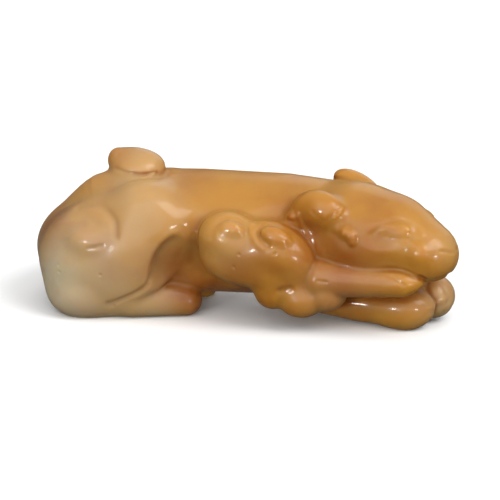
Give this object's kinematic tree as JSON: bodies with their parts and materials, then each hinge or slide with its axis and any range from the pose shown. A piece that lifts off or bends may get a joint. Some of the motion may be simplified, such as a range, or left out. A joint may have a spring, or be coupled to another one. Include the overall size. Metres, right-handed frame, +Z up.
{
  "type": "carved jade dog figure",
  "caption": "Recumbent hound carved from honey jade, chin on its fore paws, curled tail, a fungus spray held along its flank.",
  "frame": {"origin": "on the ground plane, under the middle of the figure's bounding box", "axes": "+X from the rump to the nose, +Y to the hound's left, +Z up"},
  "size_m": [0.0726, 0.0288, 0.0269],
  "materials": {
    "jade": "high polish, translucent honey-yellow stone"
  },
  "bodies": {
    "root": {"jade_dog": "jade"}
  },
  "joints": []
}
